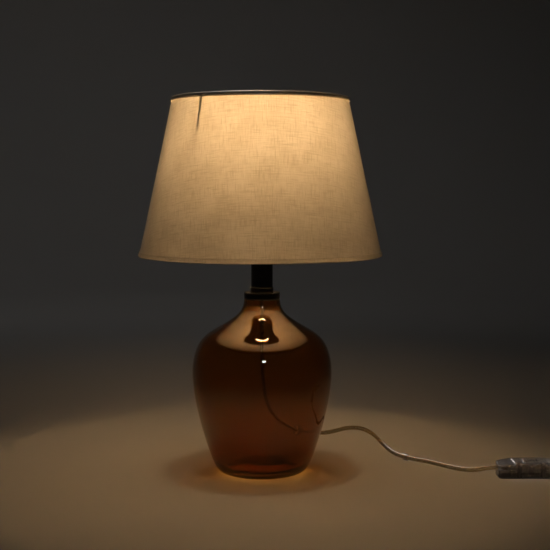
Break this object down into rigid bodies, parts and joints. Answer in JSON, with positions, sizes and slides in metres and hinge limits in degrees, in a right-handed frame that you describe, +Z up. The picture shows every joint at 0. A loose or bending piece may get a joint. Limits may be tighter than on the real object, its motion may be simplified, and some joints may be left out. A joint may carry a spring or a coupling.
{
  "type": "table lamp",
  "caption": "Table lamp: amber glass bottle base, black neck fitting, tapered linen drum shade, clear flat lead with in-line rocker switch.",
  "frame": {"origin": "middle of the bottle's foot, on the surface that the lamp stands on", "axes": "+Z up along the lamp's axis, +X to the viewer's right, +Y away from the viewer"},
  "size_m": [0.6354, 0.3, 0.4617],
  "materials": {
    "amber_glass": "clear amber, glossy",
    "clear_plastic": "clear moulded",
    "black_metal": "satin black",
    "black_rubber": "matt",
    "plated_steel": "zinc plated",
    "brass": "bare",
    "black_bakelite": "moulded",
    "white_ceramic": "glazed ceramic",
    "linen": "slub linen on film",
    "linen_trim": "folded hem",
    "white_wire": "coated wire",
    "opal_globe": "opal, lit",
    "white_plastic": "moulded",
    "clear_lead": "clear flexible sheath",
    "clear_plug": "clear moulded"
  },
  "bodies": {
    "lamp_base": {"glass_bottle": "amber_glass", "cord_grommet": "clear_plastic", "cord_clip": "clear_plastic", "switch_base": "clear_plastic", "switch_cover": "clear_plastic", "coil_tie": "clear_plastic", "neck_cap": "black_metal", "stem_collar": "black_metal", "stem_tube": "black_metal", "neck_gasket": "black_rubber", "threaded_rod": "plated_steel", "lock_washer": "plated_steel", "lock_nut": "plated_steel", "terminal_screw_live": "plated_steel", "terminal_screw_neutral": "plated_steel", "rocker_pin": "plated_steel", "switch_screw_1": "plated_steel", "switch_screw_2": "plated_steel", "terminal_screw_in": "plated_steel", "terminal_screw_out": "plated_steel", "screw_shell": "brass", "center_contact": "brass", "side_contact": "brass", "terminal_in": "brass", "terminal_out": "brass", "neutral_link": "brass", "plug_pin_1": "brass", "plug_pin_2": "brass", "holder_cap": "black_bakelite", "holder_skirt": "black_bakelite", "holder_insert": "white_ceramic", "lead_clamp_in": "white_plastic", "lead_clamp_out": "white_plastic", "cord_to_switch": "clear_lead", "cord_from_switch": "clear_lead", "cord_coil": "clear_lead", "cord_to_plug": "clear_lead", "plug_body": "clear_plug"},
    "shade": {"shade_cover": "linen", "top_hem": "linen_trim", "bottom_hem": "linen_trim", "top_ring": "white_wire", "bottom_ring": "white_wire", "shade_spoke_1": "white_wire", "shade_spoke_2": "white_wire", "shade_spoke_3": "white_wire", "fitter_ring": "white_wire"},
    "ring_nut": {"shade_ring": "black_bakelite"},
    "bulb": {"bulb_globe": "opal_globe", "bulb_collar": "white_plastic", "bulb_cap": "plated_steel", "bulb_insulator": "black_bakelite", "bulb_contact": "plated_steel"},
    "rocker": {"switch_rocker": "clear_plastic"},
    "contact": {"contact_bar": "brass"}
  },
  "joints": [
    {"name": "shade_turn", "type": "hinge", "parent": "lamp_base", "child": "shade", "pos_m": [0, 0, 0.3464], "axis": [0, 0, 1], "continuous": true},
    {"name": "shade_ring_turn", "type": "hinge", "parent": "lamp_base", "child": "ring_nut", "pos_m": [0, 0, 0.3508], "axis": [0, 0, 1], "range_deg": [0, 1080]},
    {"name": "bulb_lift", "type": "slide", "parent": "lamp_base", "child": "bulb", "axis": [0, 0, 1], "range_m": [0, 0.16]},
    {"name": "rocker_tilt", "type": "hinge", "parent": "lamp_base", "child": "rocker", "pos_m": [0.3275, -0.038, 0.014], "axis": [0, 1, 0], "range_deg": [-16, 0]},
    {"name": "contact_tilt", "type": "hinge", "parent": "lamp_base", "child": "contact", "pos_m": [0.3275, -0.0335, 0.0065], "axis": [0, 1, 0], "range_deg": [0, 10]}
  ],
  "couplings": [
    {"joint": "contact_tilt", "follows": "rocker_tilt", "ratio": -0.625}
  ]
}
